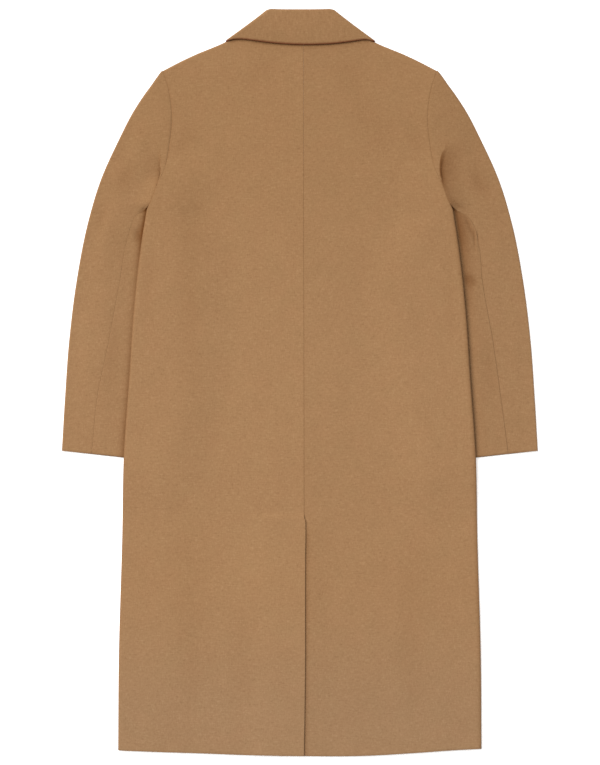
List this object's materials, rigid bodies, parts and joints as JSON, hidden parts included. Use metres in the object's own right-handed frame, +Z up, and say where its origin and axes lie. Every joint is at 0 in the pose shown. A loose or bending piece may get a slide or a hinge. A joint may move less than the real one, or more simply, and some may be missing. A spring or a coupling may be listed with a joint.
{
  "type": "overcoat",
  "caption": "Long single-layer wool overcoat lying face down and flat, with a turned-down collar, set-in sleeves, a centre back seam and a back vent.",
  "frame": {"origin": "under the middle of the coat's outline, on the surface it lies on", "axes": "+X towards the viewer's right (the wearer's right sleeve), +Y from the hem to the collar, +Z up, out of the coat's back"},
  "size_m": [0.7622, 1.1954, 0.0155],
  "materials": {
    "wool": "camel melton wool, matt, with a short flat nap",
    "wool_collar": "camel melton wool, matt, a shade darker where it turns"
  },
  "bodies": {
    "root": {"back_left": "wool", "back_right": "wool", "front_left": "wool", "front_right": "wool", "lapel_left": "wool", "lapel_right": "wool", "collar_fall": "wool_collar", "collar_stand": "wool_collar", "top_sleeve_left": "wool", "top_sleeve_right": "wool", "under_sleeve_left": "wool", "under_sleeve_right": "wool"}
  },
  "joints": []
}
